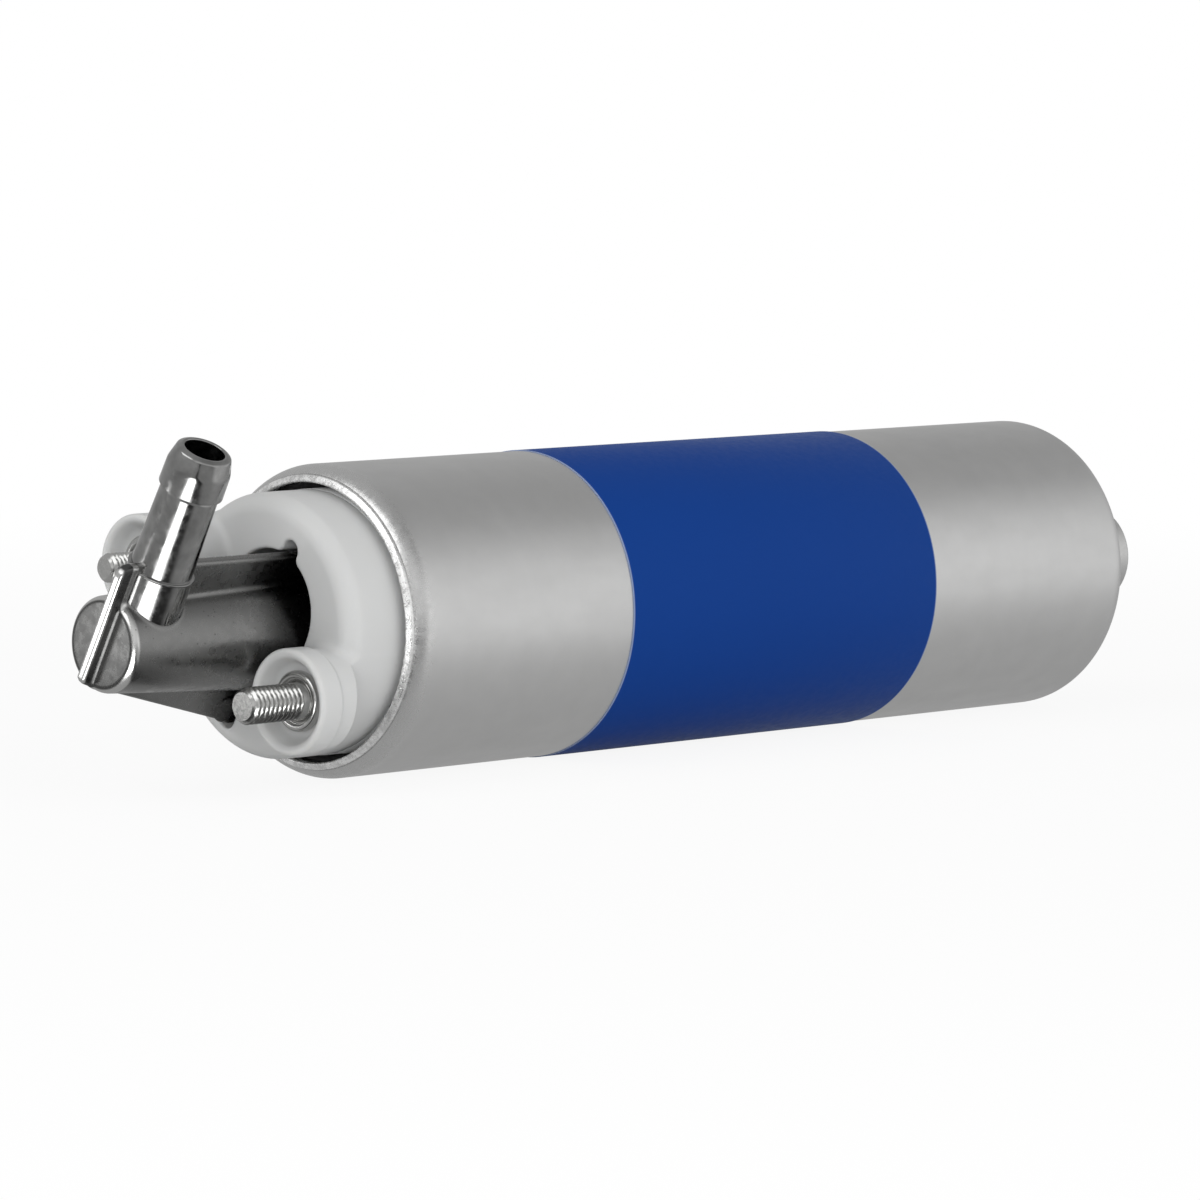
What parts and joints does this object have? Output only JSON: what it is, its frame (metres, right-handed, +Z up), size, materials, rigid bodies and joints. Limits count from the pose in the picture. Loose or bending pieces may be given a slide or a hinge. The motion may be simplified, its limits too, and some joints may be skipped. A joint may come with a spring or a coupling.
{
  "type": "fuel pump",
  "caption": "Inline electric fuel pump: rolled tube with a coloured band, plastic end cap with two terminal studs, and a cast outlet elbow with a tilted hose barb.",
  "frame": {"origin": "on the tube's axis, at the middle of the coloured band", "axes": "+X along the tube towards the inlet spigot, +Z up, with the outlet nipple pointing up and towards -Y; the terminals and the outlet are at the -X end"},
  "size_m": [0.2059, 0.0432, 0.0485],
  "materials": {
    "aluminium_tube": "satin, drawn",
    "blue_film": "matte film",
    "white_plastic": "moulded, slightly translucent",
    "black_rubber": "matte",
    "dark_casting": "die-cast, dark and pitted",
    "zinc_steel": "zinc-plated",
    "spring_steel": "drawn wire",
    "ground_steel": "ground",
    "black_steel": "blackened",
    "brass": "turned",
    "bronze": "sintered",
    "copper": "enamelled wire",
    "bar_copper": "bare",
    "black_plastic": "moulded",
    "phenolic": "moulded",
    "cream_plastic": "moulded",
    "carbon": "pressed carbon",
    "ferrite": "sintered",
    "core_iron": "laminated steel",
    "cast_alloy": "die-cast"
  },
  "bodies": {
    "pump": {"housing_tube": "aluminium_tube", "band": "blue_film", "end_cap": "white_plastic", "cap_seal": "black_rubber", "outlet_fitting": "dark_casting", "outlet_seal": "black_rubber", "check_valve_seat": "brass", "check_valve_spring": "spring_steel", "stud_large": "zinc_steel", "stud_small": "zinc_steel", "stud_seals": "black_rubber", "stud_nuts": "zinc_steel", "terminal_straps": "brass", "choke_cores": "ferrite", "choke_coils": "copper", "brush_holder": "cream_plastic", "front_bearing": "bronze", "brush_spring_upper": "spring_steel", "brush_spring_lower": "spring_steel", "brush_caps": "brass", "flux_ring": "zinc_steel", "magnets": "ferrite", "magnet_clips": "spring_steel", "rear_bearing": "bronze", "pump_housing": "cast_alloy", "pump_seal": "black_rubber", "suction_plate": "cast_alloy", "plate_screws": "black_steel", "relief_spring": "spring_steel", "relief_plug": "cast_alloy", "inlet_cover": "cast_alloy", "inlet_seal": "black_rubber", "inlet_strainer": "cream_plastic"},
    "rotor": {"rotor_shaft": "ground_steel", "thrust_washers": "bronze", "armature_core": "core_iron", "windings": "copper", "commutator_hub": "phenolic", "commutator_bars": "bar_copper", "coupling": "cream_plastic", "driving_screw": "ground_steel"},
    "idler": {"idler_screw": "ground_steel"},
    "check_valve": {"check_valve_poppet": "black_plastic"},
    "relief_valve": {"relief_poppet": "brass"},
    "upper_brush": {"brush_upper": "carbon"},
    "lower_brush": {"brush_lower": "carbon"}
  },
  "joints": [
    {"name": "rotor_spin", "type": "hinge", "parent": "pump", "child": "rotor", "pos_m": [0, 0, 0], "axis": [1, 0, 0], "continuous": true},
    {"name": "idler_spin", "type": "hinge", "parent": "pump", "child": "idler", "pos_m": [0, 0, 0.0096], "axis": [1, 0, 0], "continuous": true},
    {"name": "check_valve_lift", "type": "slide", "parent": "pump", "child": "check_valve", "axis": [-1, 0, 0], "range_m": [0, 0.0025], "stiffness_N_per_m": 80, "springref_m": -0.0025, "deforming": ["check_valve_spring"]},
    {"name": "relief_valve_lift", "type": "slide", "parent": "pump", "child": "relief_valve", "axis": [1, 0, 0], "range_m": [0, 0.003], "stiffness_N_per_m": 1200, "springref_m": -0.004, "deforming": ["relief_spring"]},
    {"name": "upper_brush_slide", "type": "slide", "parent": "pump", "child": "upper_brush", "axis": [0, 0, 1], "range_m": [0, 0.0015], "stiffness_N_per_m": 100, "springref_m": -0.005, "deforming": ["brush_spring_upper"]},
    {"name": "lower_brush_slide", "type": "slide", "parent": "pump", "child": "lower_brush", "axis": [0, 0, -1], "range_m": [0, 0.0015], "stiffness_N_per_m": 100, "springref_m": -0.005, "deforming": ["brush_spring_lower"]}
  ],
  "couplings": [
    {"joint": "idler_spin", "follows": "rotor_spin", "ratio": -1}
  ]
}
